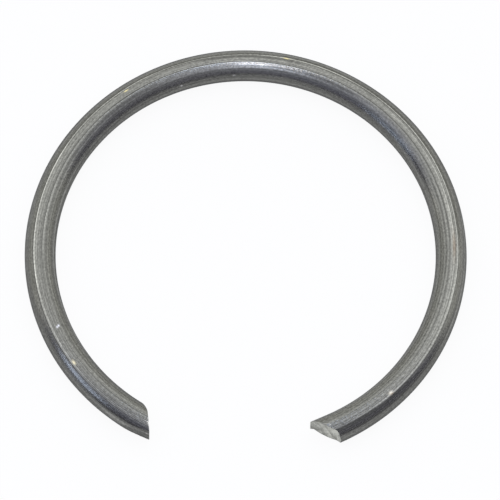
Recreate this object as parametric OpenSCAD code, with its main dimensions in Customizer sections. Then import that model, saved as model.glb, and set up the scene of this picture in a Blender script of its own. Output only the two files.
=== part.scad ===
// Round-wire retaining ring, free and lying on its side, in millimetres.
// The ring's axis is Z, its centre is the origin and the gap faces -Y.
// The ring was sheared off the coil by a blade that came from outside, against
// an anvil inside the coil. So the right face has a short square step where the
// blade went in and then slants inwards, and the left face slants the same way
// and rolls over at its inner corner. Each tool left a flat beside its own cut.

/* [Wire] */
// Diameter of the drawn spring wire
wire_d = 2.0; // [1.2:0.1:3]

/* [Ring] */
// Outside diameter of the free ring
free_od = 28.5; // [22:0.5:40]
// Angle of the gap between the two ends, along the wire's centre
gap_angle = 51.6; // [20:0.1:90]

/* [Left face] */
// Slant of the left face away from a square cut
left_slant = 33; // [20:1:45]
// Width of the left face that rolls over towards the inside of the ring
rollover_w = 0.7; // [0.3:0.05:0.8]
// Length of the wire's inside that the rolled-over corner takes up
rollover_len = 0.55; // [0.3:0.05:0.6]

/* [Right face] */
// Slant of the right face away from a square cut
right_slant = 41; // [20:1:45]
// Depth of the square step on the outside of the right face
square_step = 0.2; // [0.05:0.05:0.4]
// Radius of the bend between the square step and the slanted face
bend_r = 0.6; // [0.3:0.05:0.9]

/* [Tool flats] */
// Depth of the flat that the blade pressed into the outside of the left tip
blade_flat_depth = 0.3; // [0.05:0.05:0.4]
// Length of the blade's flat, back from the left tip
blade_flat_len = 2.0; // [1:0.1:3]
// Depth of the flat that the anvil pressed into the inside of the right tip
anvil_flat_depth = 0.17; // [0.05:0.01:0.3]
// Length of the anvil's flat, back from the right tip
anvil_flat_len = 1.7; // [1:0.1:3]

/* [Hidden] */

$fn = 96;
wire_r = wire_d / 2;
ring_r = free_od / 2 - wire_r;
steel = "#7c7d79";

// Ring angles of the two ends, where the cuts cross the wire's centre
left_end = 270 - gap_angle / 2;
right_end = 270 + gap_angle / 2;

// Wire left on ahead of each cut, which the end cutters take away
spare_len = wire_d;
spare_angle = spare_len / ring_r * 180 / PI;

// Reach of the cutters past the wire's skin
reach = 2 * wire_d;

// Each end has its own frame: x is outwards from the wire's centre and y is
// along the wire, towards a larger ring angle. Its slanted line crosses the
// wire's centre at the origin.
left_slope = tan(left_slant);
right_slope = tan(right_slant);

// Rolled-over corner of the left face: an arc that leaves the slanted line
// smoothly and meets the inside of the ring
roll_start = (rollover_w - wire_r) * [1, left_slope];
roll_end_y = -left_slope * wire_r - rollover_len;
roll_end = [inside_x(roll_end_y), roll_end_y];
roll_chord = roll_end - roll_start;
left_normal = [-sin(left_slant), cos(left_slant)];
roll_r = roll_chord * roll_chord / (-2 * roll_chord * left_normal);
roll_centre = roll_start - roll_r * left_normal;

// Bend of the right face, from the slanted line to the square step
step_x = wire_r - square_step;
bend_x = step_x - bend_r * sin(right_slant);
step_y = right_slope * bend_x + bend_r * (1 - cos(right_slant));
bend_centre = [step_x, step_y - bend_r];

// Flats that the blade and the anvil pressed into the tips, as straight lines
blade_tip = (wire_r - blade_flat_depth) * [1, left_slope];
blade_out_y = blade_tip[1] - blade_flat_len;
blade_out = [outside_x(blade_out_y), blade_out_y];
anvil_tip = (anvil_flat_depth - wire_r) * [1, right_slope];
anvil_out_y = anvil_tip[1] + anvil_flat_len;
anvil_out = [inside_x(anvil_out_y), anvil_out_y];

// x of the ring's inner and outer skin at a distance y along the wire
function inside_x(y) = sqrt(pow(ring_r - wire_r, 2) - y * y) - ring_r;
function outside_x(y) = sqrt(pow(ring_r + wire_r, 2) - y * y) - ring_r;

// Puts a flat outline of an end at its ring angle and cuts through the wire
module at_end(ring_angle) {
    rotate([0, 0, ring_angle])
        translate([ring_r, 0, 0])
            linear_extrude(height = reach, center = true)
                children();
}

// All that lies behind the left end's slanted line
module behind_left_face() {
    polygon([
        [-reach, -left_slope * reach],
        [reach, left_slope * reach],
        [reach, -2 * reach],
        [-reach, -2 * reach]
    ]);
}

// All that lies in the gap, ahead of the right end's stepped line
module ahead_of_right_face() {
    polygon([
        [-reach, -right_slope * reach],
        [bend_x, right_slope * bend_x],
        [step_x, step_y],
        [reach, step_y],
        [reach, -2 * reach],
        [-reach, -2 * reach]
    ]);
    translate(bend_centre) circle(r = bend_r);
}

// The stretch of wire, on either side of a cut, that its cutter may touch
module end_block() {
    square([2 * wire_d, 4 * wire_d], center = true);
}

// What the rolled-over corner lacks outside its arc: a slice of the plane seen
// from the arc's centre, drawn well past the arc, less the arc's own disc
module rollover_waste() {
    past_arc = 1.5;
    start_ray = past_arc * (roll_start - roll_centre);
    end_ray = past_arc * (roll_end - roll_centre);
    difference() {
        polygon([
            roll_centre,
            roll_centre + start_ray,
            roll_centre + (start_ray + end_ray) / past_arc,
            roll_centre + end_ray
        ]);
        translate(roll_centre) circle(r = roll_r);
    }
}

// What a pressed flat takes away, from where it runs out to a little past the
// tip. It lies outside the ring where outwards is 1 and inside it where -1.
module flat_waste(tip, runout, outwards) {
    overrun = 0.3;
    past_tip = tip + overrun * (tip - runout);
    polygon([
        runout,
        past_tip,
        past_tip + [outwards * wire_d, 0],
        runout + [outwards * wire_d, 0]
    ]);
}

// Left end: trimmed at the slanted line, rolled over, flat on the outside
module left_end_waste() {
    difference() {
        end_block();
        behind_left_face();
    }
    rollover_waste();
    flat_waste(blade_tip, blade_out, 1);
}

// Right end: trimmed at the stepped line, flat on the inside
module right_end_waste() {
    intersection() {
        end_block();
        ahead_of_right_face();
    }
    flat_waste(anvil_tip, anvil_out, -1);
}

// One piece of round wire, coiled to a ring and sheared off at both ends
module snap_ring() {
    color(steel)
        difference() {
            rotate([0, 0, right_end - spare_angle])
                rotate_extrude(angle = 360 - gap_angle + 2 * spare_angle)
                    translate([ring_r, 0])
                        circle(d = wire_d);
            at_end(left_end) left_end_waste();
            at_end(right_end) right_end_waste();
        }
}

snap_ring();
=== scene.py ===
"""A round-wire snap ring, lying free on a pale table under soft studio light.

The wire was drawn through a die, fed through rolls, coiled and sheared off at both ends. Every
surface here comes from one of those steps: the draw marks along the wire, the roll's track along
its top, the two sides of the shear cut and a few rubbed spots from handling. Painted highlights
and painted reflections lie among the draw marks in the skin's tone.
"""

import logging
import math
from dataclasses import dataclass, field
from enum import Enum

import bpy
import numpy as np
from mathutils import Matrix, Vector, noise


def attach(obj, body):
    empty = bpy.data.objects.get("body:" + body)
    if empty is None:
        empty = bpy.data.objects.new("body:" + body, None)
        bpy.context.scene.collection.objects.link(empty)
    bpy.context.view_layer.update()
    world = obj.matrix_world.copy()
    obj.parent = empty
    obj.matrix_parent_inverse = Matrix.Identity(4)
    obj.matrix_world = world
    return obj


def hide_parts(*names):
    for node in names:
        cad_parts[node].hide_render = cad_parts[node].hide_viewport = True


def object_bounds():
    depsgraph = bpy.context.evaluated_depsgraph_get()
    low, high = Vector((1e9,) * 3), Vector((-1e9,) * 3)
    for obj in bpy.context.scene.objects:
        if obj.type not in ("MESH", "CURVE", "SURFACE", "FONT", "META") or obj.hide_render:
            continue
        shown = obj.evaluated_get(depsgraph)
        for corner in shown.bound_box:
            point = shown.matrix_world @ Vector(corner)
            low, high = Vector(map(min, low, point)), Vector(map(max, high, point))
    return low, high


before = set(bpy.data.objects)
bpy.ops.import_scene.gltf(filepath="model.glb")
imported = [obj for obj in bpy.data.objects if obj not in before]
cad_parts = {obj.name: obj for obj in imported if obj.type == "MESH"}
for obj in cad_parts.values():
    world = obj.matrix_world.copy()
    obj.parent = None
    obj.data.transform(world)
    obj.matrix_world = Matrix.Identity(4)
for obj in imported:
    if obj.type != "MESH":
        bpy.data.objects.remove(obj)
cad_low, cad_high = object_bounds()

MM = 0.001
NODE = "snap_ring"
# A streak, a speck or a grain is half a cycle of the noise that draws it.
HALF_CYCLE = 0.5
log = logging.getLogger("snap_ring")


def linear_colour(hex_code: str) -> tuple[float, float, float, float]:
    """Turns an sRGB hex colour into the linear colour that a shader takes.

    Args:
        hex_code: six hex digits, with or without a leading hash.

    Returns:
        Linear red, green and blue, and an alpha of 1.
    """
    digits = hex_code.lstrip("#")
    channels = [int(digits[i : i + 2], 16) / 255 for i in (0, 2, 4)]
    linear = [c / 12.92 if c <= 0.04045 else ((c + 0.055) / 1.055) ** 2.4 for c in channels]
    return (*linear, 1.0)


def add_node(
    tree: bpy.types.NodeTree,
    kind: str,
    inputs: dict[str | int, object] | None = None,
    **settings: object,
) -> bpy.types.Node:
    """Adds a node with its settings, its input values and its links.

    Args:
        tree: the tree that gets the node.
        kind: the node's type, such as ShaderNodeMath.
        inputs: for each input, by name or number, a value or the socket that feeds it.
        settings: the node's own properties.

    Returns:
        The new node.
    """
    node = tree.nodes.new(kind)
    for name, value in settings.items():
        setattr(node, name, value)
    for key, value in (inputs or {}).items():
        if isinstance(value, bpy.types.NodeSocket):
            tree.links.new(value, node.inputs[key])
        else:
            node.inputs[key].default_value = value
    return node


def new_material(name: str) -> bpy.types.Material:
    """Makes a node material that has no nodes yet.

    Args:
        name: the material's name.

    Returns:
        The material.
    """
    material = bpy.data.materials.new(name)
    material.use_nodes = True
    material.node_tree.nodes.clear()
    return material


def smooth_step(low: float, high: float, value: np.ndarray) -> np.ndarray:
    """Rises smoothly from 0 at low to 1 at high, which may lie either way round."""
    share = np.clip((value - low) / (high - low), 0, 1)
    return share * share * (3 - 2 * share)


def steps_to(places: np.ndarray, gaps: np.ndarray) -> np.ndarray:
    """Counts the steps from the first place to each, where their length varies.

    Args:
        places: rising places, close together.
        gaps: the length that a step should have at each place.

    Returns:
        The number of steps to each place, from 0.
    """
    rates = (1 / gaps[1:] + 1 / gaps[:-1]) / 2
    return np.concatenate([[0], np.cumsum(rates * np.diff(places))])


def direction(azimuth_deg: float, elevation_deg: float) -> Vector:
    """Gives the direction from the ring to a place in the room.

    Args:
        azimuth_deg: turn round the vertical, from +X.
        elevation_deg: rise above the level.

    Returns:
        A vector of length 1.
    """
    azimuth = math.radians(azimuth_deg)
    elevation = math.radians(elevation_deg)
    level = math.cos(elevation)
    return Vector((level * math.cos(azimuth), level * math.sin(azimuth), math.sin(elevation)))


class CircleFill(Enum):
    """How the wire's section is drawn: as a bare circle or as a disc."""

    BARE = "NOTHING"
    DISC = "NGON"


class EndSide(Enum):
    """Which way an end faces: along the wire's ring angle or against it."""

    LEFT = 1
    RIGHT = -1


@dataclass(frozen=True)
class FaceGrain:
    """A ripple of a cut face: its height in millimetres and its bumps for each millimetre.

    Each ripple is read from a layer of the noise that is its own.
    """

    height: float
    outwards: float
    upwards: float
    layer: float

    def at(self, x: float, z: float) -> float:
        """Gives the ripple at a point of the face, in millimetres along the wire."""
        return self.height * noise.noise(Vector((x * self.outwards, z * self.upwards, self.layer)))


@dataclass(frozen=True)
class ShearedEnd:
    """One sheared end, in a flat frame of its own, in millimetres.

    x is outwards from the wire's centre and y is along the wire, towards a larger ring angle. The
    cut crosses the wire's centre at the origin and runs straight through along the ring's axis.
    The slant is in degrees from a square cut, and the flat is the one that the tool pressed
    beside the cut.
    """

    ring_r: float
    wire_r: float
    ring_angle: float
    side: EndSide
    slant: float
    flat_depth: float
    flat_len: float

    @property
    def slope(self) -> float:
        """Rise of the slanted line for each millimetre outwards."""
        return math.tan(math.radians(self.slant))

    def line(self, x: np.ndarray) -> np.ndarray:
        """Gives the cut's y at each x."""
        raise NotImplementedError

    def flat_x(self, y: np.ndarray) -> np.ndarray:
        """Gives the x of the flat that the tool pressed beside the cut, at each y."""
        raise NotImplementedError

    def pressed(self, x: np.ndarray, y: np.ndarray) -> np.ndarray:
        """Moves each point that lies past the tool's flat onto it."""
        raise NotImplementedError

    def grain(self, x: float, z: float) -> float:
        """Gives the roughness of the face at a point, in millimetres along the wire."""
        raise NotImplementedError

    def skin_x(self, y: float, outwards: int) -> float:
        """Gives the x of the ring's outer or inner skin at a distance y along the wire."""
        return math.sqrt((self.ring_r + outwards * self.wire_r) ** 2 - y * y) - self.ring_r

    def along_ring(self, x: np.ndarray, turn: np.ndarray) -> tuple[np.ndarray, np.ndarray]:
        """Places points of the section at x, turned round the ring from this end.

        Args:
            x: distance outwards from the wire's centre.
            turn: ring angle from this end, in radians.

        Returns:
            Their x and y in this end's frame.
        """
        reach = self.ring_r + x
        flat_frame_x = reach * np.cos(turn) - self.ring_r
        y = reach * np.sin(turn)
        return self.pressed(flat_frame_x, y), y

    def turns_to_cut(self, x: np.ndarray) -> np.ndarray:
        """Finds the ring angle from this end at which each line along the wire meets the cut.

        Args:
            x: distance of each line outwards from the wire's centre.

        Returns:
            The angles, in radians.
        """
        furthest_turn = 0.25
        halvings = 40
        low = np.full_like(x, -furthest_turn)
        high = np.full_like(x, furthest_turn)
        for _ in range(halvings):
            middle = (low + high) / 2
            at_x, at_y = self.along_ring(x, middle)
            past = at_y > self.line(at_x)
            high = np.where(past, middle, high)
            low = np.where(past, low, middle)
        return (low + high) / 2

    def to_end(self, points: np.ndarray) -> np.ndarray:
        """Turns points from the ring's frame into this end's frame.

        Args:
            points: x, y and z of each point, in the ring's frame.

        Returns:
            The same points in this end's frame.
        """
        cos, sin = math.cos(self.ring_angle), math.sin(self.ring_angle)
        x = points[:, 0] * cos + points[:, 1] * sin - self.ring_r
        y = points[:, 1] * cos - points[:, 0] * sin
        return np.stack([x, y, points[:, 2]], axis=1)

    def to_ring(self, points: np.ndarray) -> np.ndarray:
        """Turns points from this end's frame into the ring's frame.

        Args:
            points: x, y and z of each point, in this end's frame.

        Returns:
            The same points in the ring's frame.
        """
        cos, sin = math.cos(self.ring_angle), math.sin(self.ring_angle)
        reach = points[:, 0] + self.ring_r
        x = reach * cos - points[:, 1] * sin
        y = reach * sin + points[:, 1] * cos
        return np.stack([x, y, points[:, 2]], axis=1)


@dataclass(frozen=True)
class RolledEnd(ShearedEnd):
    """The left end: the blade's side of the cut, rolled over at its inner corner.

    The rollover's width is measured across the wire, and its length along the wire's inside.
    """

    side: EndSide = EndSide.LEFT
    slant: float = 33
    flat_depth: float = 0.3
    flat_len: float = 2.0
    rollover_w: float = 0.7
    rollover_len: float = 0.55
    ripple: FaceGrain = FaceGrain(0.012, 4, 2, 3.0)

    @property
    def roll_start(self) -> tuple[float, float]:
        """Where the rolled corner leaves the slanted line."""
        x = self.rollover_w - self.wire_r
        return x, self.slope * x

    def line(self, x: np.ndarray) -> np.ndarray:
        """Gives the cut's line: slanted, with an arc over the inner corner.

        Args:
            x: distances outwards from the wire's centre.

        Returns:
            The cut's y at each x.
        """
        start_x, start_y = self.roll_start
        end_y = -self.slope * self.wire_r - self.rollover_len
        chord = (self.skin_x(end_y, -1) - start_x, end_y - start_y)
        slant = math.radians(self.slant)
        lean = -chord[0] * math.sin(slant) + chord[1] * math.cos(slant)
        radius = (chord[0] ** 2 + chord[1] ** 2) / (-2 * lean)
        centre_x = start_x + radius * math.sin(slant)
        centre_y = start_y - radius * math.cos(slant)
        height = radius**2 - (np.minimum(x, start_x) - centre_x) ** 2
        arc = centre_y + np.sqrt(np.maximum(height, 0))
        return np.where(x < start_x, arc, self.slope * x)

    def flat_x(self, y: np.ndarray) -> np.ndarray:
        """Gives the flat that the blade pressed into the outside.

        Args:
            y: distances along the wire.

        Returns:
            The flat's x at each y.
        """
        tip_x = self.wire_r - self.flat_depth
        tip_y = self.slope * tip_x
        out_x = self.skin_x(tip_y - self.flat_len, 1)
        return tip_x + (out_x - tip_x) * (tip_y - y) / self.flat_len

    def pressed(self, x: np.ndarray, y: np.ndarray) -> np.ndarray:
        """Moves each point outside the blade's flat onto it.

        Args:
            x: distances outwards from the wire's centre.
            y: distances along the wire.

        Returns:
            The x of each point once pressed.
        """
        tip_y = self.slope * (self.wire_r - self.flat_depth)
        near = y > tip_y - self.flat_len
        return np.where(near, np.minimum(x, self.flat_x(y)), x)

    def grain(self, x: float, z: float) -> float:
        """Gives the face's low ripple."""
        return self.ripple.at(x, z)


@dataclass(frozen=True)
class SteppedEnd(ShearedEnd):
    """The right end: a square step where the blade went in, a bend, and a slanted break.

    The break's torn grain fades out between two values of x, and the sheared part outside them
    keeps a share of its fine grain, as drag lines.
    """

    side: EndSide = EndSide.RIGHT
    slant: float = 41
    flat_depth: float = 0.17
    flat_len: float = 1.7
    step_depth: float = 0.2
    bend_r: float = 0.6
    burr_len: float = 0.15
    burr_w: float = 0.08
    coarse_grain: FaceGrain = FaceGrain(0.010, 4, 1.6, 7.0)
    fine_grain: FaceGrain = FaceGrain(0.010, 12, 5, 5.0)
    drag_share: float = 0.6
    torn_fade: tuple[float, float] = (0.0, 0.5)

    @property
    def tip_x(self) -> float:
        """x of the inner tip, on the anvil's flat."""
        return self.flat_depth - self.wire_r

    def line(self, x: np.ndarray) -> np.ndarray:
        """Gives the cut's line: burr, slanted break, bend and square step.

        Args:
            x: distances outwards from the wire's centre.

        Returns:
            The cut's y at each x.
        """
        slant = math.radians(self.slant)
        step_x = self.wire_r - self.step_depth
        bend_x = step_x - self.bend_r * math.sin(slant)
        step_y = self.slope * bend_x + self.bend_r * (1 - math.cos(slant))
        held_x = np.clip(x, bend_x, step_x)
        bend = step_y - self.bend_r + np.sqrt(self.bend_r**2 - (held_x - step_x) ** 2)
        face = np.where(x < bend_x, self.slope * x, bend)
        burr = self.burr_len * smooth_step(self.tip_x + self.burr_w, self.tip_x, x)
        return face - burr

    def flat_x(self, y: np.ndarray) -> np.ndarray:
        """Gives the flat that the anvil pressed into the inside.

        Args:
            y: distances along the wire.

        Returns:
            The flat's x at each y.
        """
        tip_y = self.slope * self.tip_x
        out_x = self.skin_x(tip_y + self.flat_len, -1)
        return self.tip_x + (out_x - self.tip_x) * np.maximum(y - tip_y, 0) / self.flat_len

    def pressed(self, x: np.ndarray, y: np.ndarray) -> np.ndarray:
        """Moves each point inside the anvil's flat onto it.

        Args:
            x: distances outwards from the wire's centre.
            y: distances along the wire.

        Returns:
            The x of each point once pressed.
        """
        near = y < self.slope * self.tip_x + self.flat_len
        return np.where(near, np.maximum(x, self.flat_x(y)), x)

    def grain(self, x: float, z: float) -> float:
        """Gives the torn grain of the break and the fine drag lines of the sheared part.

        Args:
            x: distance outwards from the wire's centre.
            z: height above the wire's centre.

        Returns:
            The roughness at that point, in millimetres along the wire.
        """
        torn = 1 - float(smooth_step(*self.torn_fade, np.array(x)))
        fine = self.fine_grain.at(x, z)
        return torn * (self.coarse_grain.at(x, z) + fine) + self.drag_share * fine


@dataclass(frozen=True)
class SkinSpot:
    """A small spot on the skin, at a ring angle and a section angle, sized in millimetres."""

    ring_deg: float
    section_deg: float
    length: float
    width: float


@dataclass(frozen=True)
class RubbedSpot(SkinSpot):
    """A nick or rub where handling has bared brighter metal, whose warmth runs from 0 to 1."""

    depth: float
    warmth: float


@dataclass(frozen=True)
class Stain(SkinSpot):
    """A brown stain, whose strength runs from 0 for none to 1 where it hides the steel."""

    strength: float


@dataclass(frozen=True)
class EdgeNick:
    """A small slanting nick that a knock has left in the edge of an end, in millimetres.

    It is deepest at the edge, at a section angle, and leans outwards by its lean for each
    millimetre up the face. Back along the wire it fades out over so many times its depth.
    """

    side: EndSide
    section_deg: float
    half_width: float
    length: float
    depth: float
    lean: float
    fade_depths: float = 4.0

    def sunk(self, local: np.ndarray, middle: np.ndarray, behind: np.ndarray) -> np.ndarray:
        """Gives how far the nick pushes each point back along the wire.

        Args:
            local: points in the end's frame.
            middle: the point of the edge where the nick is deepest.
            behind: each point's distance behind the cut, along the wire.

        Returns:
            Distances, in millimetres.
        """
        off = local - middle
        across = np.abs(off[:, 0] - self.lean * off[:, 2])
        share = smooth_step(self.half_width, 0, across)
        share *= smooth_step(self.length, 0, np.abs(off[:, 2]))
        return self.depth * share * smooth_step(self.fade_depths * self.depth, 0, np.abs(behind))


@dataclass(frozen=True)
class RollTrack:
    """The flattened track that a feed roll leaves along the wire.

    Its share says how much of the way to a flat the roll pressed the skin.
    """

    section_deg: float
    half_deg: float
    share: float

    def sunk(self, section: np.ndarray, wire_r: float) -> np.ndarray:
        """Gives how far the skin is pressed in at each section angle.

        Args:
            section: section angles, in radians.
            wire_r: the round wire's radius.

        Returns:
            Depths below the round skin, in the radius's own unit.
        """
        half = math.radians(self.half_deg)
        off = np.angle(np.exp(1j * (section - math.radians(self.section_deg))))
        chord = wire_r * math.cos(half) / np.cos(np.clip(off, -half, half))
        return self.share * np.where(np.abs(off) < half, wire_r - chord, 0)


@dataclass(frozen=True)
class ToneAndReflectionMark:
    """A line or band along the wire, lighter or darker: draw lines and painted reflections alike.

    It lies at a section angle and reaches half_deg to either side. Its lightness is what it adds
    to the skin's tone of 1. Along the wire it is centred on ring_deg, is length_deg long and
    fades out over fade_deg more at each end.
    """

    section_deg: float
    half_deg: float
    lightness: float
    ring_deg: float
    length_deg: float
    fade_deg: float = 12.0

    def share(self, ring_deg: np.ndarray, section_deg: np.ndarray) -> np.ndarray:
        """Gives the mark's strength at each point.

        Args:
            ring_deg: ring angles of the points.
            section_deg: section angles of the points.

        Returns:
            Strengths, from 1 along its middle to 0 outside it.
        """
        across = smooth_step(self.half_deg, 0, np.abs(section_deg - self.section_deg))
        half = self.length_deg / 2
        away = np.abs(ring_deg - self.ring_deg)
        return across * smooth_step(half + self.fade_deg, half, away)


@dataclass(frozen=True)
class DrawnSteelFinish:
    """Cold-drawn, hardened spring steel: grey, with fine bright and dark lines along the wire.

    The tone of tool lines and painted reflections, and the rubbed spots' bare metal, come with the
    mesh.
    """

    steel: str = "#7d7c74"
    bare: str = "#dcdce0"
    bare_warm: str = "#efe0a4"
    stain: str = "#7a6248"
    edge_tint: str = "#bcbcbc"
    roughness: float = 0.25
    # The die's scratches blur a highlight across the wire, a quarter turn from the tangent.
    anisotropy: float = 0.8
    blur_turn: float = 0.25
    # Real draw lines and pits are under 0.01 mm, too fine to show, so they are drawn coarser.
    fine_line_mm: float = 0.055
    broad_line_mm: float = 0.22
    speck_mm: float = 0.05
    # How many times longer than wide a fine line, a broad line and a speck are.
    fine_stretch: float = 500
    broad_stretch: float = 80
    speck_stretch: float = 1.5
    # Detail and roughness of the noise that draws them.
    streak_detail: float = 2.0
    streak_roughness: float = 0.6
    # How far they swing the tone. Away from the track the fine lines keep their plain share.
    fine_contrast: float = 1.9
    plain_share: float = 0.42
    broad_contrast: float = 0.3
    speck_contrast: float = 0.74
    # How high they stand out of the skin, which tilts the light on them.
    line_height_mm: float = 0.006
    speck_height_mm: float = 0.009

    def material(self) -> bpy.types.Material:
        """Builds the wire's skin from its tone, draw lines, specks and rubbed spots.

        Returns:
            The material.
        """
        # To the eye: dark satin grey, a soft shine drawn out across the wire, and thin bright and
        # dark streaks along it, with a fine sparkle where the light catches the specks.
        made = new_material("cold_drawn_spring_steel")
        tree = made.node_tree
        wire = add_node(tree, "ShaderNodeAttribute", attribute_name="wire_mm").outputs["Vector"]
        # The tone holds the draw lines and also painted highlights and painted reflections.
        tone, rubbed, warm, stained, lined = (
            add_node(tree, "ShaderNodeAttribute", attribute_name=name).outputs["Fac"]
            for name in ("tone", "rubbed", "warm", "stained", "lined")
        )
        fine = self.streaks(tree, wire, self.fine_line_mm, self.fine_stretch)
        broad = self.streaks(tree, wire, self.broad_line_mm, self.broad_stretch)
        speck = self.streaks(tree, wire, self.speck_mm, self.speck_stretch)
        fine_strength = add_node(
            tree, "ShaderNodeMath", {0: lined, 1: self.fine_contrast}, operation="MULTIPLY"
        ).outputs[0]
        for noise_share, contrast in (
            (fine, fine_strength),
            (broad, self.broad_contrast),
            (speck, self.speck_contrast),
        ):
            swing = add_node(
                tree, "ShaderNodeMath", {0: noise_share, 1: 2.0, 2: -1.0}, operation="MULTIPLY_ADD"
            ).outputs[0]
            change = add_node(
                tree, "ShaderNodeMath", {0: swing, 1: contrast, 2: 1.0}, operation="MULTIPLY_ADD"
            ).outputs[0]
            tone = add_node(
                tree, "ShaderNodeMath", {0: tone, 1: change}, operation="MULTIPLY"
            ).outputs[0]
        colour = add_node(
            tree,
            "ShaderNodeVectorMath",
            {0: linear_colour(self.steel)[:3], "Scale": tone},
            operation="SCALE",
        ).outputs[0]
        bare = add_node(
            tree,
            "ShaderNodeMix",
            {0: warm, 6: linear_colour(self.bare), 7: linear_colour(self.bare_warm)},
            data_type="RGBA",
        ).outputs[2]
        for share, tint in ((stained, linear_colour(self.stain)), (rubbed, bare)):
            colour = add_node(
                tree, "ShaderNodeMix", {0: share, 6: colour, 7: tint}, data_type="RGBA"
            ).outputs[2]
        lines = add_node(
            tree,
            "ShaderNodeBump",
            {"Strength": 1.0, "Distance": self.line_height_mm * MM, "Height": fine},
        ).outputs["Normal"]
        specks = {"Distance": self.speck_height_mm * MM, "Height": speck, "Normal": lines}
        bump = add_node(tree, "ShaderNodeBump", {"Strength": 1.0, **specks}).outputs["Normal"]
        tangent = add_node(
            tree, "ShaderNodeTangent", direction_type="UV_MAP", uv_map="along_wire"
        ).outputs["Tangent"]
        shader = add_node(
            tree,
            "ShaderNodeBsdfPrincipled",
            {
                "Base Color": colour,
                "Metallic": 1.0,
                "Specular Tint": linear_colour(self.edge_tint),
                "Roughness": self.roughness,
                "Anisotropic": self.anisotropy,
                "Anisotropic Rotation": self.blur_turn,
                "Tangent": tangent,
                "Normal": bump,
            },
        )
        add_node(tree, "ShaderNodeOutputMaterial", {"Surface": shader.outputs[0]})
        return made

    def streaks(
        self, tree: bpy.types.NodeTree, wire: bpy.types.NodeSocket, width_mm: float, length: float
    ) -> bpy.types.NodeSocket:
        """Adds a noise that is stretched along the wire.

        Args:
            tree: the material's tree.
            wire: place along the wire and in its section, in millimetres.
            width_mm: width of a streak.
            length: how many times longer than wide a streak is.

        Returns:
            The noise, from 0 to 1.
        """
        stretched = add_node(
            tree, "ShaderNodeVectorMath", {0: wire, 1: (1 / length, 1, 1)}, operation="MULTIPLY"
        ).outputs[0]
        return add_node(
            tree,
            "ShaderNodeTexNoise",
            {
                "Vector": stretched,
                "Scale": HALF_CYCLE / width_mm,
                "Detail": self.streak_detail,
                "Roughness": self.streak_roughness,
            },
        ).outputs[0]


@dataclass(frozen=True)
class ShearedSteelFinish:
    """Freshly sheared spring steel: two pale, matt greys that its torn grain mixes."""

    pale: str = "#d8d7c7"
    shade: str = "#a3a294"
    roughness: float = 0.55
    # The real torn grain is some 0.03 mm, too fine to show, so it is drawn coarser.
    grain_mm: float = 0.16
    # The grain is longer up and down the face, so its noise is squeezed that way.
    grain_squeeze: float = 0.4
    grain_detail: float = 3.0
    grain_roughness: float = 0.6
    grain_height_mm: float = 0.01
    # Levels of the noise at which the darker grey ends and the paler one begins.
    shade_level: float = 0.36
    pale_level: float = 0.58

    def material(self) -> bpy.types.Material:
        """Builds the cut face's finish.

        Returns:
            The material.
        """
        # To the eye: a pale, dull face beside the dark skin, mottled, with no mirror in it.
        made = new_material("sheared_spring_steel")
        tree = made.node_tree
        wire = add_node(tree, "ShaderNodeAttribute", attribute_name="wire_mm").outputs["Vector"]
        tone = add_node(tree, "ShaderNodeAttribute", attribute_name="tone").outputs["Fac"]
        torn = add_node(
            tree,
            "ShaderNodeVectorMath",
            {0: wire, 1: (1, 1, self.grain_squeeze)},
            operation="MULTIPLY",
        ).outputs[0]
        grain = add_node(
            tree,
            "ShaderNodeTexNoise",
            {
                "Vector": torn,
                "Scale": HALF_CYCLE / self.grain_mm,
                "Detail": self.grain_detail,
                "Roughness": self.grain_roughness,
            },
        ).outputs[0]
        share = add_node(
            tree,
            "ShaderNodeMapRange",
            {0: grain, 1: self.shade_level, 2: self.pale_level, 3: 0.0, 4: 1.0},
        ).outputs[0]
        colour = add_node(
            tree,
            "ShaderNodeMix",
            {0: share, 6: linear_colour(self.shade), 7: linear_colour(self.pale)},
            data_type="RGBA",
        ).outputs[2]
        colour = add_node(
            tree, "ShaderNodeVectorMath", {0: colour, "Scale": tone}, operation="SCALE"
        ).outputs[0]
        bump = add_node(
            tree,
            "ShaderNodeBump",
            {"Strength": 1.0, "Distance": self.grain_height_mm * MM, "Height": grain},
        ).outputs["Normal"]
        shader = add_node(
            tree,
            "ShaderNodeBsdfPrincipled",
            {
                "Base Color": colour,
                "Metallic": 1.0,
                "Roughness": self.roughness,
                "Normal": bump,
            },
        )
        add_node(tree, "ShaderNodeOutputMaterial", {"Surface": shader.outputs[0]})
        return made


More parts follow.
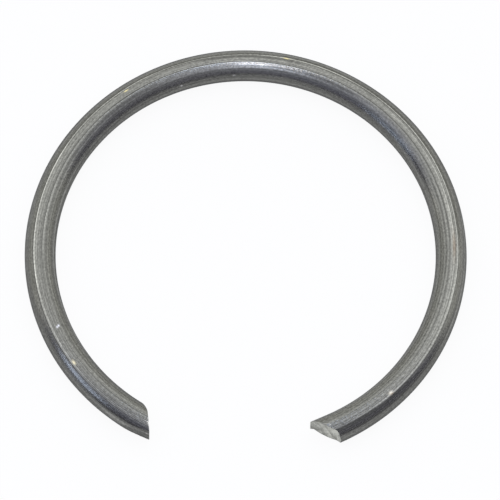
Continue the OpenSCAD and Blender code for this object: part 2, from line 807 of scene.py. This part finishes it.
@dataclass
class WireRing:
    """The ring itself: drawn wire, coiled, sheared at both ends and marked by handling.

    Sizes are in millimetres and come from the frame where it gives them. The mesh is first
    modelled as a plain coil with flat ends and then pressed into its true shape. Section angles
    run from the ring's outside, at 0, over the top, at 90. The spots and marks were placed
    each where the photograph shows one.
    """

    wire_r: float = (cad_high.z - cad_low.z) / 2 / MM
    gap_deg: float = 51.6
    # Points round the section, and how many degrees apart they lie over the track and elsewhere.
    section_points: int = 144
    fine_section: tuple[float, float] = (56.0, 106.0)
    fine_spacing: float = 1.0
    coarse_spacing: float = 4.0
    spacing_growth: float = 0.1
    # Distances between rows along the wire: fine this near an end or a spot, then growing.
    fine_row: float = 0.045
    coarse_row: float = 0.3
    fine_reach: float = 0.25
    row_growth: float = 0.07
    # Rings of an end's disc, and the width of its edge and how far that is rounded back.
    cap_rings: int = 18
    edge_w: float = 0.03
    edge_ease: float = 0.009
    # Stretch of wire that an end's slant takes to turn square to the wire again.
    end_zone: float = 3.5
    # Corners that turn by less than this look smooth.
    smooth_deg: float = 60.0
    # Greys of the cut faces: at the burr, fading out over these x, and round the edge, fading in
    # over these shares of the radius, a little sooner below.
    burr_grey: float = 0.82
    burr_fade: tuple[float, float] = (-0.7, 0.2)
    edge_grey: float = 0.45
    edge_fade: tuple[float, float] = (0.93, 1.04)
    edge_sag: float = 0.08
    # How far off the track, in degrees, the fine lines are plain and how near they are strong.
    lined_fade: tuple[float, float] = (12.0, 4.0)
    track: RollTrack = RollTrack(section_deg=79.5, half_deg=17.5, share=0.6)
    # Ring angle, section angle, length, width, depth and warmth.
    spots: tuple[RubbedSpot, ...] = (
        RubbedSpot(-44.1, 73, 0.22, 0.13, 0.010, 0.4),
        RubbedSpot(81.3, 66, 0.24, 0.06, 0.006, 1.0),
        RubbedSpot(127.3, 74, 0.20, 0.06, 0.006, 1.0),
        RubbedSpot(112.0, 152, 0.09, 0.07, 0.004, 0.2),
        RubbedSpot(95.9, 150, 0.12, 0.04, 0.004, 0.2),
        RubbedSpot(206.1, 95.5, 0.10, 0.08, 0.006, 0.0),
        RubbedSpot(206.3, 88.5, 0.09, 0.07, 0.006, 0.0),
        RubbedSpot(217.6, 73, 0.22, 0.11, 0.010, 0.7),
        RubbedSpot(243.6, 13, 0.08, 0.09, 0.004, 0.3),
        RubbedSpot(-63.5, 90, 0.04, 0.03, 0.001, 0.4),
    )
    nicks: tuple[EdgeNick, ...] = (
        EdgeNick(EndSide.LEFT, section_deg=73, half_width=0.13, length=0.9, depth=0.075, lean=0.4),
    )
    # Ring angle, section angle, length, width and strength.
    stains: tuple[Stain, ...] = (
        Stain(4.0, 79, 1.20, 0.14, 0.5),
        Stain(-44.1, 66.5, 0.18, 0.06, 1.0),
    )
    # Draw lines, with painted highlights and painted reflections of the room among them.
    # Section angle, half width, lightness, ring angle, length and, where it differs, fade.
    marks: tuple[ToneAndReflectionMark, ...] = (
        # The outer side, below the roll's track. Its marks are partly painted reflections, such as
        # the darker table at the right front.
        ToneAndReflectionMark(30, 10, -0.30, -48, 30, 20),
        ToneAndReflectionMark(38, 9.0, -0.24, -38, 40),
        ToneAndReflectionMark(27, 6.0, 0.45, -4, 26, 10),
        ToneAndReflectionMark(54.5, 3.0, 0.42, -24, 14, 8),
        ToneAndReflectionMark(58, 9.0, -0.44, -56, 22),
        ToneAndReflectionMark(56, 7.0, -0.40, 44, 64, 14),
        ToneAndReflectionMark(46, 8.0, 0.32, 108, 80),
        ToneAndReflectionMark(39, 8.0, 0.20, 150, 40),
        ToneAndReflectionMark(30, 8.0, 0.35, 170, 34, 10),
        ToneAndReflectionMark(58.5, 2.5, -0.36, 138, 32, 8),
        ToneAndReflectionMark(54, 2.5, 0.45, 177, 14, 6),
        ToneAndReflectionMark(34, 9.0, -0.24, 210, 44),
        ToneAndReflectionMark(53, 8.0, 0.64, 208, 18, 8),
        # The outer side of the left tip, which the blade pushed about. Its marks are painted
        # reflections in the blade's flat.
        ToneAndReflectionMark(39, 10, -0.27, 240, 20, 8),
        ToneAndReflectionMark(24, 7.0, 0.30, 236, 6, 4),
        ToneAndReflectionMark(16, 11, 0.60, 241, 12, 5),
        ToneAndReflectionMark(30, 6.0, -0.25, 244, 1.5, 1.5),
        ToneAndReflectionMark(2, 5.0, -0.50, 244, 1, 0.8),
        # The track's lower edge: a dark line, and the bright rim above it.
        ToneAndReflectionMark(61.5, 2.2, -0.42, 101, 284, 6),
        ToneAndReflectionMark(65, 5.5, -0.50, -60, 14, 8),
        ToneAndReflectionMark(64, 3.5, -0.14, -22, 90, 10),
        ToneAndReflectionMark(70, 3.2, 0.60, -50, 8, 6),
        ToneAndReflectionMark(69, 3.4, 0.72, -26, 34),
        ToneAndReflectionMark(70, 3.0, 0.34, -6, 18, 8),
        ToneAndReflectionMark(65.5, 3.2, 0.45, 20, 60),
        ToneAndReflectionMark(64.5, 3.8, 0.95, 74, 18, 8),
        ToneAndReflectionMark(65, 3.4, 0.45, 98, 24, 8),
        ToneAndReflectionMark(65.5, 4.0, 1.10, 138, 30, 12),
        ToneAndReflectionMark(69, 5.0, 0.34, 148, 56, 10),
        ToneAndReflectionMark(66.5, 4.0, 1.65, 172, 32, 10),
        ToneAndReflectionMark(68, 4.0, 0.80, 204, 22, 10),
        # The track itself.
        ToneAndReflectionMark(70.5, 5.0, -0.32, 51, 28),
        ToneAndReflectionMark(74, 6.0, -0.52, 91, 20, 8),
        ToneAndReflectionMark(75, 4.5, -0.26, 118, 14, 6),
        ToneAndReflectionMark(76, 3.2, -0.15, -2, 44, 8),
        ToneAndReflectionMark(75, 6.0, -0.33, 213, 44),
        ToneAndReflectionMark(80, 5.0, -0.14, 90, 110, 10),
        ToneAndReflectionMark(82, 5.5, 0.80, -22, 70, 10),
        ToneAndReflectionMark(82, 6.0, 0.48, 28, 34),
        ToneAndReflectionMark(89, 6.0, -0.20, 79, 280),
        ToneAndReflectionMark(87.5, 4.0, -0.20, 76, 100, 10),
        ToneAndReflectionMark(91, 12, -0.12, -60, 10, 6),
        # The track's upper edge: a dark line, a light one and the dark foot of the inner side.
        ToneAndReflectionMark(93, 6.0, -0.34, 48, 70),
        ToneAndReflectionMark(95, 4.0, -0.28, 115, 28, 8),
        ToneAndReflectionMark(97, 2.2, -0.45, 2, 112),
        ToneAndReflectionMark(97, 2.4, -0.52, 180, 106),
        ToneAndReflectionMark(100.3, 2.2, 0.30, 36, 50),
        ToneAndReflectionMark(100.3, 2.4, 0.92, 151, 48),
        ToneAndReflectionMark(105, 4.5, -0.24, 36, 70),
        ToneAndReflectionMark(106, 3.0, -0.24, 110, 20, 6),
        ToneAndReflectionMark(106, 5.0, -0.36, 170, 82),
        # Painted highlight: its bright core at the back, and the painted dark stretch that ends
        # it.
        ToneAndReflectionMark(100, 2.8, 0.36, 90.5, 7, 3),
        ToneAndReflectionMark(105.5, 3.6, 0.60, 90.5, 6, 2.5),
        ToneAndReflectionMark(117, 3.4, 0.60, 92.5, 9, 3),
        ToneAndReflectionMark(110, 5.0, -0.46, 81.5, 6, 3),
        # The inner side, with painted reflections; at ring angles 42 to 44 painted shade dims the
        # window's reflection.
        ToneAndReflectionMark(110, 8.0, -0.46, 68, 12, 6),
        ToneAndReflectionMark(110, 6.5, -0.36, -20, 84),
        ToneAndReflectionMark(111, 6.0, -0.30, 176, 100),
        ToneAndReflectionMark(116, 7.0, 0.38, 94, 34, 10),
        ToneAndReflectionMark(120, 9.0, 0.26, 149, 16, 10),
        ToneAndReflectionMark(119, 8.0, 0.18, 210, 50),
        ToneAndReflectionMark(123, 6.0, 0.22, -50, 18, 8),
        ToneAndReflectionMark(124, 8.0, 0.72, 27, 18, 8),
        ToneAndReflectionMark(124, 7.0, 0.16, 66, 60, 10),
        ToneAndReflectionMark(129, 9.0, -0.36, 42, 14, 8),
        ToneAndReflectionMark(135, 5.0, -0.80, 44, 12, 5),
        ToneAndReflectionMark(132, 8.0, -0.24, -12, 52),
        ToneAndReflectionMark(136, 10, 0.34, 75, 74),
        ToneAndReflectionMark(132, 8.0, 0.24, 140, 18),
        ToneAndReflectionMark(134, 6.5, -0.30, 178, 44),
        ToneAndReflectionMark(147, 9.0, 0.60, -8, 92),
        ToneAndReflectionMark(146, 7.0, 0.42, 68, 28),
        ToneAndReflectionMark(151, 9.0, 0.34, 188, 44),
        ToneAndReflectionMark(154, 10, -0.28, 92, 110),
    )
    skin: DrawnSteelFinish = DrawnSteelFinish()
    face: ShearedSteelFinish = ShearedSteelFinish()
    ring_r: float = field(init=False)
    first_angle: float = field(init=False)
    last_angle: float = field(init=False)
    length: float = field(init=False)
    ends: dict[EndSide, ShearedEnd] = field(init=False)

    def __post_init__(self) -> None:
        """Works out the ring's radius and the wire's length, and sets up the two ends."""
        self.ring_r = cad_high.y / MM - self.wire_r
        half_gap = math.radians(self.gap_deg) / 2
        self.first_angle = -math.pi / 2 + half_gap
        self.last_angle = 3 * math.pi / 2 - half_gap
        self.length = (self.last_angle - self.first_angle) * self.ring_r
        self.ends = {
            EndSide.RIGHT: SteppedEnd(self.ring_r, self.wire_r, self.first_angle),
            EndSide.LEFT: RolledEnd(self.ring_r, self.wire_r, self.last_angle),
        }

    def row_places(self) -> np.ndarray:
        """Spreads the rows of vertices along the wire, closer at the ends and the rubbed spots.

        Returns:
            Each row's distance along the wire from the right end, in millimetres.
        """
        samples = 20001
        places = np.linspace(0, self.length, samples)
        gaps = np.full_like(places, self.coarse_row)
        spots = [(math.radians(s.ring_deg) - self.first_angle) * self.ring_r for s in self.spots]
        for centre in (0.0, self.length, *spots):
            away = np.maximum(np.abs(places - centre) - self.fine_reach, 0)
            gaps = np.minimum(gaps, self.fine_row + self.row_growth * away)
        counted = steps_to(places, gaps)
        rows = int(counted[-1])
        return np.interp(np.linspace(0, counted[-1], rows + 1), counted, places)

    def spread_section(self, section: np.ndarray) -> np.ndarray:
        """Moves evenly spaced section angles so that they lie closer over the roll's track.

        Args:
            section: section angles of the plain coil, in radians.

        Returns:
            The angles at which the points belong, in radians.
        """
        samples = 7201
        angles = np.linspace(-180, 180, samples)
        low, high = self.fine_section
        away = np.maximum(np.maximum(low - angles, angles - high), 0)
        gaps = np.minimum(self.fine_spacing + self.spacing_growth * away, self.coarse_spacing)
        counted = steps_to(angles, gaps)
        even = counted / counted[-1] * 360 - 180
        return np.radians(np.interp(np.degrees(section), even, angles))

    def section_circle(self, ring_angle: float, fill: CircleFill) -> bpy.types.Object:
        """Adds the wire's round section at a ring angle, with a millimetre as its unit.

        Args:
            ring_angle: where on the ring it stands, in radians.
            fill: bare, or filled as a disc.

        Returns:
            The circle, with its place in its mesh.
        """
        bpy.ops.object.select_all(action="DESELECT")
        centre = (self.ring_r * math.cos(ring_angle), self.ring_r * math.sin(ring_angle), 0)
        bpy.ops.mesh.primitive_circle_add(
            vertices=self.section_points,
            radius=self.wire_r,
            fill_type=fill.value,
            location=centre,
            rotation=(math.pi / 2, 0, ring_angle),
        )
        bpy.ops.object.transform_apply(location=True, rotation=True, scale=True)
        return bpy.context.object

    def end_disc(self, ring_angle: float) -> bpy.types.Object:
        """Makes the flat disc that closes an end, inset ring by ring to its middle.

        Args:
            ring_angle: where on the ring it stands, in radians.

        Returns:
            The disc.
        """
        disc = self.section_circle(ring_angle, CircleFill.DISC)
        step = (self.wire_r - self.edge_w) / self.cap_rings
        bpy.ops.object.mode_set(mode="EDIT")
        bpy.ops.mesh.select_all(action="SELECT")
        bpy.ops.mesh.inset(thickness=self.edge_w)
        for _ in range(self.cap_rings - 1):
            bpy.ops.mesh.inset(thickness=step)
        bpy.ops.mesh.poke()
        bpy.ops.object.mode_set(mode="OBJECT")
        return disc

    def coil(self, rows: int) -> bpy.types.Object:
        """Sweeps the round section into an open coil and closes both ends with discs.

        The coil has a millimetre as its unit, and evenly spaced rows.

        Args:
            rows: how many steps the sweep takes.

        Returns:
            The coil, out of edit mode.
        """
        weld_mm = 1e-4
        discs = [self.end_disc(angle) for angle in (self.first_angle, self.last_angle)]
        ring = self.section_circle(self.first_angle, CircleFill.BARE)
        ring.name = "drawn_wire_ring"
        ring.data.name = "drawn_wire_ring"
        screw = ring.modifiers.new("coil", "SCREW")
        screw.axis = "Z"
        screw.angle = self.last_angle - self.first_angle
        screw.steps = rows
        screw.render_steps = rows
        screw.use_normal_calculate = True
        bpy.ops.object.modifier_apply(modifier=screw.name)
        for disc in discs:
            disc.select_set(True)
        bpy.context.view_layer.objects.active = ring
        bpy.ops.object.join()
        bpy.ops.object.mode_set(mode="EDIT")
        bpy.ops.mesh.select_all(action="SELECT")
        bpy.ops.mesh.remove_doubles(threshold=weld_mm)
        bpy.ops.mesh.normals_make_consistent(inside=False)
        bpy.ops.object.mode_set(mode="OBJECT")
        return ring

    def shape(self, ring: bpy.types.Object, places: np.ndarray) -> None:
        """Presses the plain coil into the real wire's shape and stores where each point belongs.

        Args:
            ring: the coil as spun, with a millimetre as its unit.
            places: each row's true distance along the wire.
        """
        mesh = ring.data
        flat = np.empty(len(mesh.vertices) * 3, np.float32)
        mesh.vertices.foreach_get("co", flat)
        points = flat.reshape(-1, 3).astype(float)
        # A point a hair before the first end has a small negative turn, not almost a full one.
        before = math.pi / 6
        turn = np.arctan2(points[:, 1], points[:, 0])
        turn = np.mod(turn - self.first_angle + before, 2 * math.pi) - before
        share = np.clip(turn / (self.last_angle - self.first_angle), 0, 1)
        row = np.rint(share * (len(places) - 1)).astype(int)
        x = np.hypot(points[:, 0], points[:, 1]) - self.ring_r
        z = points[:, 2]
        section = self.spread_section(np.arctan2(z, x))
        depth = np.clip(np.hypot(x, z) / self.wire_r, 0, 1)
        rim_depth = 0.999
        on_cap = depth < rim_depth
        along = places[row]

        radius = self.wire_r - self.track.sunk(section, self.wire_r)
        radius = radius - self.spot_depth(along, section)
        rim_x = radius * np.cos(section)
        rim_z = radius * np.sin(section)
        to_cut = {side: end.turns_to_cut(rim_x) for side, end in self.ends.items()}
        right_pull = np.maximum(1 - along / self.end_zone, 0) ** 2
        left_pull = np.maximum(1 - (self.length - along) / self.end_zone, 0) ** 2
        angle = self.first_angle + along / self.ring_r
        angle = angle + to_cut[EndSide.RIGHT] * right_pull + to_cut[EndSide.LEFT] * left_pull
        reach = self.ring_r + rim_x
        placed = np.stack([reach * np.cos(angle), reach * np.sin(angle), rim_z], axis=1)

        for end in self.ends.values():
            self.press_end(end, placed, along, section, depth, on_cap)

        mesh.vertices.foreach_set("co", (placed * MM).astype(np.float32).ravel())
        wire = np.stack([along, rim_x * depth, rim_z * depth], axis=1)
        stored = mesh.attributes.new("wire_mm", "FLOAT_VECTOR", "POINT")
        stored.data.foreach_set("vector", wire.astype(np.float32).ravel())
        self.paint(mesh, along, section)
        self.shade_faces(mesh, on_cap, wire)
        self.map_length(mesh, along, section)
        self.split_finishes(mesh, on_cap, row, wire)
        mesh.update()

    def press_end(
        self,
        end: ShearedEnd,
        placed: np.ndarray,
        along: np.ndarray,
        section: np.ndarray,
        depth: np.ndarray,
        on_cap: np.ndarray,
    ) -> None:
        """Presses the tool's flat into an end, lays its cut face and knocks in its nicks.

        Args:
            end: the end.
            placed: all points in the ring's frame, which are moved near the end.
            along: each point's distance along the wire.
            section: each point's section angle, in radians.
            depth: each point's distance from the wire's centre, where the skin is 1.
            on_cap: which points lie on a cut face, inside its rim.
        """
        from_end = self.length - along if end.side is EndSide.LEFT else along
        here = from_end < self.end_zone
        at_face = np.isclose(from_end, 0)
        rim = at_face & ~on_cap
        cap = at_face & on_cap
        local = end.to_end(placed)
        local[:, 0] = end.pressed(local[:, 0], local[:, 1])
        middle_x = (local[rim, 0].min() + local[rim, 0].max()) / 2
        local[cap, 0] = middle_x + depth[cap] * (local[cap, 0] - middle_x)
        local[cap, 2] = depth[cap] * local[cap, 2]
        local[cap, 1] = end.line(local[cap, 0])
        for i in np.flatnonzero(cap):
            local[i, 1] += end.grain(local[i, 0], local[i, 2])
        local[rim, 0] -= self.edge_ease * np.cos(section[rim])
        local[rim, 2] -= self.edge_ease * np.sin(section[rim])
        local[rim, 1] -= self.edge_ease * end.side.value
        for nick in self.nicks:
            if nick.side is not end.side:
                continue
            off = np.where(rim, np.abs(section - math.radians(nick.section_deg)), np.inf)
            behind = local[:, 1] - end.line(local[:, 0])
            local[:, 1] -= end.side.value * nick.sunk(local, local[np.argmin(off)], behind)
        placed[here] = end.to_ring(local)[here]

    def spot_depth(self, along: np.ndarray, section: np.ndarray) -> np.ndarray:
        """Gives how far the rubbed spots dent the skin.

        Args:
            along: each point's distance along the wire.
            section: each point's section angle, in radians.

        Returns:
            Each point's depth below the skin, in millimetres.
        """
        total = np.zeros_like(along)
        for spot in self.spots:
            total += spot.depth * self.spot_share(spot, along, section)
        return total

    def spot_share(self, spot: SkinSpot, along: np.ndarray, section: np.ndarray) -> np.ndarray:
        """Gives a spot's strength, which falls off as a bell curve does.

        Args:
            spot: the spot.
            along: each point's distance along the wire.
            section: each point's section angle, in radians.

        Returns:
            Each point's strength, from 1 at the spot's middle to 0 away from it.
        """
        steepness = 2
        centre = (math.radians(spot.ring_deg) - self.first_angle) * self.ring_r
        off = np.angle(np.exp(1j * (section - math.radians(spot.section_deg)))) * self.wire_r
        away = ((along - centre) / spot.length) ** 2 + (off / spot.width) ** 2
        return np.exp(-steepness * away)

    def paint(self, mesh: bpy.types.Mesh, along: np.ndarray, section: np.ndarray) -> None:
        """Stores the tone, the bared metal and the stains at each point of the skin.

        Args:
            mesh: the ring's mesh.
            along: each point's distance along the wire.
            section: each point's section angle, in radians.
        """
        bare = np.zeros_like(along)
        warm = np.zeros_like(along)
        for spot in self.spots:
            share = self.spot_share(spot, along, section)
            warm = np.where(share > bare, spot.warmth, warm)
            bare = np.maximum(bare, share)
        stain = np.zeros_like(along)
        for spot in self.stains:
            stain = np.maximum(stain, spot.strength * self.spot_share(spot, along, section))
        ring_deg = np.degrees(self.first_angle + along / self.ring_r)
        # The marks add draw lines, and painted highlights and painted reflections, to the tone.
        tone = np.ones_like(along)
        for mark in self.marks:
            tone += mark.lightness * mark.share(ring_deg, np.degrees(section))
        off_track = np.abs(np.degrees(section) - self.track.section_deg) - self.track.half_deg
        on_track = smooth_step(*self.lined_fade, off_track)
        lined = self.skin.plain_share + (1 - self.skin.plain_share) * on_track
        painted = {"rubbed": bare, "warm": warm, "stained": stain, "tone": tone, "lined": lined}
        for name, values in painted.items():
            stored = mesh.attributes.new(name, "FLOAT", "POINT")
            stored.data.foreach_set("value", values.astype(np.float32))

    def shade_faces(self, mesh: bpy.types.Mesh, on_cap: np.ndarray, wire: np.ndarray) -> None:
        """Stores the tone of the cut faces: greyer towards the burr, dark along the lower edge.

        Args:
            mesh: the ring's mesh, with its skin painted.
            on_cap: which points lie on a cut face, inside its rim.
            wire: each point's place along the wire and in its section, in millimetres.
        """
        tone = np.empty(len(mesh.vertices), np.float32)
        mesh.attributes["tone"].data.foreach_get("value", tone)
        off_burr = smooth_step(*self.burr_fade, wire[:, 1])
        from_burr = self.burr_grey + (1 - self.burr_grey) * off_burr
        edge = np.hypot(wire[:, 1], wire[:, 2]) / self.wire_r - self.edge_sag * wire[:, 2]
        shaded = from_burr * (1 - self.edge_grey * smooth_step(*self.edge_fade, edge))
        tone = np.where(on_cap, shaded, tone)
        mesh.attributes["tone"].data.foreach_set("value", tone.astype(np.float32))

    def map_length(self, mesh: bpy.types.Mesh, along: np.ndarray, section: np.ndarray) -> None:
        """Lays a UV map along the wire, with its seam on the inside of the ring.

        Args:
            mesh: the ring's mesh.
            along: each point's distance along the wire.
            section: each point's section angle, in radians.
        """
        corners = np.empty(len(mesh.loops), np.int32)
        mesh.loops.foreach_get("vertex_index", corners)
        starts = np.empty(len(mesh.polygons), np.int32)
        mesh.polygons.foreach_get("loop_start", starts)
        totals = np.empty(len(mesh.polygons), np.int32)
        mesh.polygons.foreach_get("loop_total", totals)
        face = np.repeat(np.arange(len(totals)), totals)
        v = section[corners] / (2 * math.pi) + 0.5
        highest = np.maximum.reduceat(v, starts)[face]
        v = np.where(highest - v > 0.5, v + 1, v)
        layer = mesh.uv_layers.get("along_wire") or mesh.uv_layers.new(name="along_wire")
        u = along[corners] / self.length
        layer.data.foreach_set("uv", np.stack([u, v], axis=1).astype(np.float32).ravel())

    def split_finishes(
        self, mesh: bpy.types.Mesh, on_cap: np.ndarray, row: np.ndarray, wire: np.ndarray
    ) -> None:
        """Gives the cut faces their own finish, apart from the rolled corner, which is skin.

        Args:
            mesh: the ring's mesh.
            on_cap: which points lie on a cut face, inside its rim.
            row: each point's row along the wire.
            wire: each point's place along the wire and in its section, in millimetres.
        """
        mesh.materials.append(self.skin.material())
        mesh.materials.append(self.face.material())
        left = self.ends[EndSide.LEFT]
        # The points of a cut face are in row 0 at the right end and in the last at the left.
        rolled = (row > 0) & (wire[:, 1] < left.roll_start[0])
        cut = on_cap & ~rolled
        for polygon in mesh.polygons:
            polygon.material_index = int(any(cut[i] for i in polygon.vertices))

    def build(self) -> bpy.types.Object:
        """Models, shapes and dresses the ring, and rides it on its body.

        Returns:
            The finished ring.
        """
        places = self.row_places()
        ring = self.coil(len(places) - 1)
        self.shape(ring, places)
        bpy.ops.object.select_all(action="DESELECT")
        ring.select_set(True)
        bpy.context.view_layer.objects.active = ring
        bpy.ops.object.shade_smooth_by_angle(angle=math.radians(self.smooth_deg))
        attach(ring, "root")
        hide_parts(NODE)
        return ring


@dataclass(frozen=True)
class SoftLight:
    """A soft box that faces the ring: its direction, its size in metres and its brightness."""

    name: str
    azimuth_deg: float
    elevation_deg: float
    width: float
    height: float
    brightness: float
    colour: str
    distance: float = 0.6

    def build(self) -> bpy.types.Object:
        """Hangs the soft box and turns it to the ring.

        Returns:
            The lamp.
        """
        towards = direction(self.azimuth_deg, self.elevation_deg)
        data = bpy.data.lights.new(self.name, "AREA")
        data.shape = "RECTANGLE"
        data.size = self.width
        data.size_y = self.height
        data.energy = self.brightness * math.pi * self.width * self.height
        data.color = linear_colour(self.colour)[:3]
        lamp = bpy.data.objects.new(self.name, data)
        bpy.context.scene.collection.objects.link(lamp)
        lamp.location = towards * self.distance
        lamp.rotation_euler = towards.to_track_quat("Z", "Y").to_euler()
        return lamp


@dataclass(frozen=True)
class SkyPatch:
    """A soft round patch of the room, brighter or dimmer than the rest of it."""

    azimuth_deg: float
    elevation_deg: float
    inner_deg: float
    outer_deg: float
    level: float
    colour: str

    def add(
        self,
        tree: bpy.types.NodeTree,
        towards: bpy.types.NodeSocket,
        room: bpy.types.NodeSocket | tuple[float, float, float],
    ) -> bpy.types.NodeSocket:
        """Adds the patch's light to the room's.

        Args:
            tree: the world's tree.
            towards: the direction looked in.
            room: the light so far.

        Returns:
            The light with the patch.
        """
        middle = direction(self.azimuth_deg, self.elevation_deg)
        facing = add_node(
            tree, "ShaderNodeVectorMath", {0: towards, 1: middle}, operation="DOT_PRODUCT"
        ).outputs["Value"]
        outer = math.cos(math.radians(self.outer_deg))
        inner = math.cos(math.radians(self.inner_deg))
        share = add_node(
            tree,
            "ShaderNodeMapRange",
            {0: facing, 1: outer, 2: inner, 3: 0.0, 4: 1.0},
            interpolation_type="SMOOTHSTEP",
        ).outputs[0]
        light = tuple(self.level * channel for channel in linear_colour(self.colour)[:3])
        return add_node(
            tree, "ShaderNodeVectorMath", {0: share, 1: light, 2: room}, operation="MULTIPLY_ADD"
        ).outputs[0]


@dataclass
class Studio:
    """The pale table, the soft light and the camera."""

    # Half of the table's width, in metres.
    table_half: float = 1.5
    # How much of the card is plain white to the camera and to a mirror.
    table_seen_glow: float = 0.93
    table_mirrored_glow: float = 0.28
    card: str = "#eeeeee"
    white: str = "#ffffff"
    room_level: float = 0.84
    room_colour: str = "#fafcff"
    # Azimuth, elevation, inner and outer edge, level and colour.
    patches: tuple[SkyPatch, ...] = (
        SkyPatch(0, 90, 18, 73, 0.90, "#edf1ff"),
        SkyPatch(-90, 8, 79, 95, -0.70, "#fcfff9"),
        SkyPatch(-125, 55, 10, 45, 0.10, "#7fa5ff"),
    )
    # Name, azimuth, elevation, width, height, brightness, colour and, where it differs, distance.
    lights: tuple[SoftLight, ...] = (
        SoftLight("overhead_soft_box", -102, 86, 0.080, 0.333, 4.6, "#c2d4ff"),
        SoftLight("overhead_lamp", -118, 86, 0.030, 0.08, 14.0, "#ffe8cc"),
        SoftLight("side_window", -154, 24, 0.066, 0.040, 4.0, "#ccdcff", 0.2),
    )
    camera_turn_deg: float = 1.27
    camera_tilt_deg: float = 22.04
    camera_roll_deg: float = 1.21
    sensor_mm: float = 36
    clip_start: float = 0.01
    clip_end: float = 10
    # The photograph's width, its scale, its lens and the place of the ring's centre in it.
    image_px: int = 500
    px_per_mm: float = 15.512
    lens_px: float = 21630.0
    centre_px: tuple[float, float] = (245.68, 255.66)

    def build(self) -> list[bpy.types.Object]:
        """Sets up the whole studio.

        Returns:
            The table, the lamps and the camera.
        """
        self.sky()
        return [self.table(), *(light.build() for light in self.lights), self.camera()]

    def table(self) -> bpy.types.Object:
        """Lays a white table under the ring, at the height of its lowest point.

        Returns:
            The table.
        """
        bpy.ops.object.select_all(action="DESELECT")
        bpy.ops.mesh.primitive_plane_add(size=2 * self.table_half, location=(0, 0, cad_low.z))
        table = bpy.context.object
        table.name = "studio_table"
        bpy.ops.object.transform_apply(location=True, rotation=True, scale=True)
        # To the eye: even, matt white with no shine, which the ring mirrors as a paler underside.
        made = new_material("white_table_card")
        tree = made.node_tree
        card = add_node(tree, "ShaderNodeBsdfDiffuse", {"Color": linear_colour(self.card)})
        glow = add_node(tree, "ShaderNodeEmission", {"Color": linear_colour(self.white)})
        path = add_node(tree, "ShaderNodeLightPath")
        share = add_node(
            tree,
            "ShaderNodeMath",
            {0: path.outputs["Is Camera Ray"], 1: self.table_seen_glow},
            operation="MULTIPLY",
        ).outputs[0]
        share = add_node(
            tree,
            "ShaderNodeMath",
            {0: path.outputs["Is Glossy Ray"], 1: self.table_mirrored_glow, 2: share},
            operation="MULTIPLY_ADD",
        ).outputs[0]
        mixed = add_node(
            tree, "ShaderNodeMixShader", {0: share, 1: card.outputs[0], 2: glow.outputs[0]}
        )
        add_node(tree, "ShaderNodeOutputMaterial", {"Surface": mixed.outputs[0]})
        table.data.materials.append(made)
        return table

    def sky(self) -> None:
        """Surrounds the table with a soft room: bright above and behind, dim in front."""
        world = bpy.data.worlds.new("soft_room")
        world.use_nodes = True
        tree = world.node_tree
        tree.nodes.clear()
        towards = add_node(tree, "ShaderNodeTexCoord").outputs["Generated"]
        light = tuple(self.room_level * channel for channel in linear_colour(self.room_colour)[:3])
        for patch in self.patches:
            light = patch.add(tree, towards, light)
        camera_ray = add_node(tree, "ShaderNodeLightPath").outputs["Is Camera Ray"]
        light = add_node(
            tree,
            "ShaderNodeMix",
            {0: camera_ray, 6: light, 7: linear_colour(self.white)},
            data_type="RGBA",
        ).outputs[2]
        room = add_node(tree, "ShaderNodeBackground", {"Color": light, "Strength": 1.0})
        add_node(tree, "ShaderNodeOutputWorld", {"Surface": room.outputs[0]})
        bpy.context.scene.world = world

    def camera(self) -> bpy.types.Object:
        """Stands the camera at the photograph's angle, with a long lens.

        Returns:
            The camera.
        """
        turn = math.radians(self.camera_turn_deg)
        tilt = math.radians(self.camera_tilt_deg)
        roll = math.radians(self.camera_roll_deg)
        back = Vector(
            (math.sin(turn) * math.sin(tilt), -math.cos(turn) * math.sin(tilt), math.cos(tilt))
        )
        data = bpy.data.cameras.new("portrait_camera")
        data.sensor_width = self.sensor_mm
        data.lens = self.lens_px / self.image_px * self.sensor_mm
        data.clip_start = self.clip_start
        data.clip_end = self.clip_end
        camera = bpy.data.objects.new("portrait_camera", data)
        bpy.context.scene.collection.objects.link(camera)
        camera.rotation_mode = "QUATERNION"
        level = back.to_track_quat("Z", "Y")
        half = self.image_px / 2
        right = level @ Vector((1, 0, 0))
        up = level @ Vector((0, 1, 0))
        cos, sin = math.cos(roll), math.sin(roll)
        rolled_right = right * cos + up * sin
        rolled_up = up * cos - right * sin
        off_x = (half - self.centre_px[0]) / self.px_per_mm * MM
        off_y = (self.centre_px[1] - half) / self.px_per_mm * MM
        distance = self.lens_px / self.px_per_mm * MM
        camera.location = back * distance + rolled_right * off_x + rolled_up * off_y
        facing = Matrix((rolled_right, rolled_up, back)).transposed()
        camera.rotation_quaternion = facing.to_quaternion()
        bpy.context.scene.camera = camera
        return camera


def main() -> None:
    """Builds the studio and then the ring, and reports each piece."""
    logging.basicConfig(level=logging.INFO, format="%(name)s: %(message)s")
    bpy.context.scene.view_settings.view_transform = "Standard"
    for piece in (*Studio().build(), WireRing().build()):
        log.info("%s is in place", piece.name)


if __name__ == "__main__":
    main()
